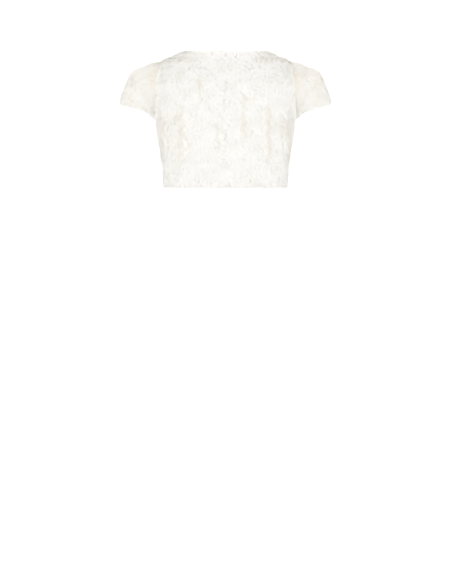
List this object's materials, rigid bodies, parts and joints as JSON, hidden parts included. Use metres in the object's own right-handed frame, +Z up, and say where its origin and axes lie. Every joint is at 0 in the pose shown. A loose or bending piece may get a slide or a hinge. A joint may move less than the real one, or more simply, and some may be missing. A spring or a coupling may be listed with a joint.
{
  "type": "fur bolero jacket",
  "caption": "Short open jacket in white pile with a straight back neckline and cap sleeves, worn and filled out, hollow inside.",
  "frame": {"origin": "midway between the tops of the shoulders, where the wearer carries the jacket", "axes": "+Z up, +X to the wearer's right, +Y towards the open fronts, so that the back faces -Y"},
  "size_m": [0.5314, 0.2537, 0.3461],
  "materials": {
    "body_pile": "fluffy ivory-white pile, combed down, matt with a soft sheen",
    "sleeve_pile": "shorter, smoother ivory-white pile, matt with a soft sheen"
  },
  "bodies": {
    "root": {"back": "body_pile", "front_left": "body_pile", "front_right": "body_pile", "sleeve_left": "sleeve_pile", "sleeve_right": "sleeve_pile"}
  },
  "joints": []
}
